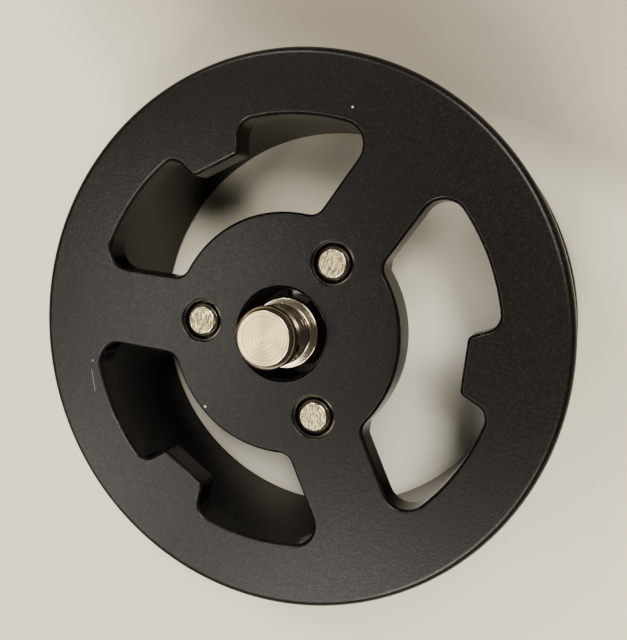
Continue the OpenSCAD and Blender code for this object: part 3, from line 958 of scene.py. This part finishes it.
def make_race(name, body, inner_r, outer_r, low, steel):
    """One bearing ring; the ball groove is on the wall that faces the balls."""
    soft = RACE_SOFT
    high, middle = low + RACE_T, low + RACE_T / 2
    inward = outer_r > BALL_CIRCLE_R + BALL_GROOVE_R
    wall_r = inner_r if inward else outer_r
    reach_angle = math.degrees(math.acos((wall_r - BALL_CIRCLE_R) / BALL_GROOVE_R))
    profile = [(inner_r, low + soft), (inner_r + soft, low), (outer_r - soft, low), (outer_r, low + soft)]
    other = [(outer_r, high - soft), (outer_r - soft, high), (inner_r + soft, high), (inner_r, high - soft)]
    if inward:
        profile += other + groove_arc(middle, reach_angle, -reach_angle)
    else:
        profile += groove_arc(middle, 360 - reach_angle, reach_angle) + other
    sheet = Sheet()
    sheet.wall(circle(0), profile + profile[:1], 0)
    return sheet.finish(f"{name}_ground", (steel,), body, "bearing_steel", name)


def make_shield(name, rubber):
    low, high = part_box(name)
    sheet = Sheet()
    soft = SHIELD_SOFT
    inner, outer = SHIELD_R, high.x
    lower = [(inner, low.z + soft), (inner + soft, low.z), (outer - soft, low.z), (outer, low.z + soft)]
    upper = [(outer, high.z - soft), (outer - soft, high.z), (inner + soft, high.z), (inner, high.z - soft)]
    sheet.wall(circle(0), lower + upper + lower[:1], 0)
    return sheet.finish(f"{name}_moulded", (rubber,), "drum", "seal_rubber", name)


# ---------------------------------------------------------------- stage


def make_stage():
    mesh = bpy.data.meshes.new("floor")
    half = FLOOR_HALF
    corners = [(-half, -half, 0), (half, -half, 0), (half, half, 0), (-half, half, 0)]
    mesh.from_pydata(corners, [], [(0, 1, 2, 3)])
    mesh.materials.append(paper())
    floor = bpy.data.objects.new("floor", mesh)
    bpy.context.scene.collection.objects.link(floor)


def add_light(name, azimuth, elevation, size, power):
    """A round soft light that faces the object; azimuth 0 is the picture's right and 90 its top."""
    data = bpy.data.lights.new(name, "AREA")
    data.shape = "DISK"
    data.size = size
    data.energy = power
    data.color = WARM_WHITE
    light = bpy.data.objects.new(name, data)
    level, rise = math.radians(azimuth), math.radians(elevation)
    direction = seen(math.cos(rise) * math.cos(level), math.cos(rise) * math.sin(level), math.sin(rise))
    light.location = direction * LIGHT_DISTANCE
    light.rotation_euler = light.location.to_track_quat("Z", "Y").to_euler()
    bpy.context.scene.collection.objects.link(light)


def make_lights():
    add_light("low_light", 270, 50, 0.36, 8.4)
    add_light("low_left_light", 238, 56, 0.30, 2.9)
    add_light("low_right_light", 300, 54, 0.30, 3.0)
    add_light("left_light", 208, 47, 0.32, 2.6)
    add_light("left_ceiling", 184, 61, 0.34, 2.4)
    add_light("upper_left_light", 119, 49, 0.26, 4.2)
    add_light("upper_light", 60, 56, 0.30, 5.0)
    add_light("right_light", 36, 63, 0.24, 5.2)

    world = bpy.data.worlds.new("world")
    world.use_nodes = True
    background = world.node_tree.nodes["Background"]
    background.inputs["Color"].default_value = (1.0, 0.975, 0.93, 1)
    background.inputs["Strength"].default_value = 0.04
    bpy.context.scene.world = world


def make_bearings(bearing, rubber):
    for place, low in zip(("rear", "front"), RACE_Z):
        make_race(f"{place}_bearing_inner_race", "base", JOURNAL_R, INNER_RACE_R, low, bearing)
        make_race(f"{place}_bearing_outer_race", "drum", OUTER_RACE_R, RACE_R, low, bearing)
        make_shield(f"{place}_bearing_shield", rubber)


def paint_cad_pieces(looks):
    """The pieces that are shown as the CAD made them only get a material."""
    for name, look in looks.items():
        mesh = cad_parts[name].data
        mesh.materials.clear()
        mesh.materials.append(look)


def main():
    make_camera()
    make_stage()
    make_lights()
    face, wall, edge = blasted_black(), turned_black(), edge_black()
    make_drum(face, wall, edge)
    end_steel, side_steel = pin_end_steel(), turned_steel()
    for number in (1, 2, 3):
        make_pin(number, end_steel, side_steel)
    make_spindle(faced_steel(), side_steel)
    make_foot(foot_steel())
    make_carrier(wall, edge)
    hardened = ground_steel("hardened_steel", (0.30, 0.29, 0.28), (0.40, 0.39, 0.37), 0.28, 0.45)
    # The bearing steel is darker than bright ground steel: painted shade for the races, which lie in the
    # shadowed gap round the stud
    bearing = ground_steel("bearing_steel", (0.24, 0.235, 0.23), (0.32, 0.31, 0.30), 0.34, 0.46)
    spring = ground_steel("spring_steel", (0.020, 0.018, 0.016), (0.035, 0.032, 0.029), 0.38, 0.52)
    brass = ground_steel("cage_brass", (0.52, 0.38, 0.17), (0.62, 0.46, 0.22), 0.22, 0.36)
    make_circlip("spindle_circlip", "base", c_ring(*SPINDLE_CIRCLIP_R, math.pi / 2), spring)
    make_circlip("housing_circlip", "drum", c_ring(*HOUSING_CIRCLIP_R, 0), spring)
    make_bearings(bearing, moulded_rubber())
    looks = {"ratchet_ring": hardened}
    for number in (1, 2):
        looks[f"pawl_{number}"] = hardened
        looks[f"pawl_spring_{number}"] = spring
    for place in ("rear", "front"):
        looks[f"{place}_bearing_balls"] = bearing
        looks[f"{place}_bearing_cage"] = brass
    paint_cad_pieces(looks)


main()
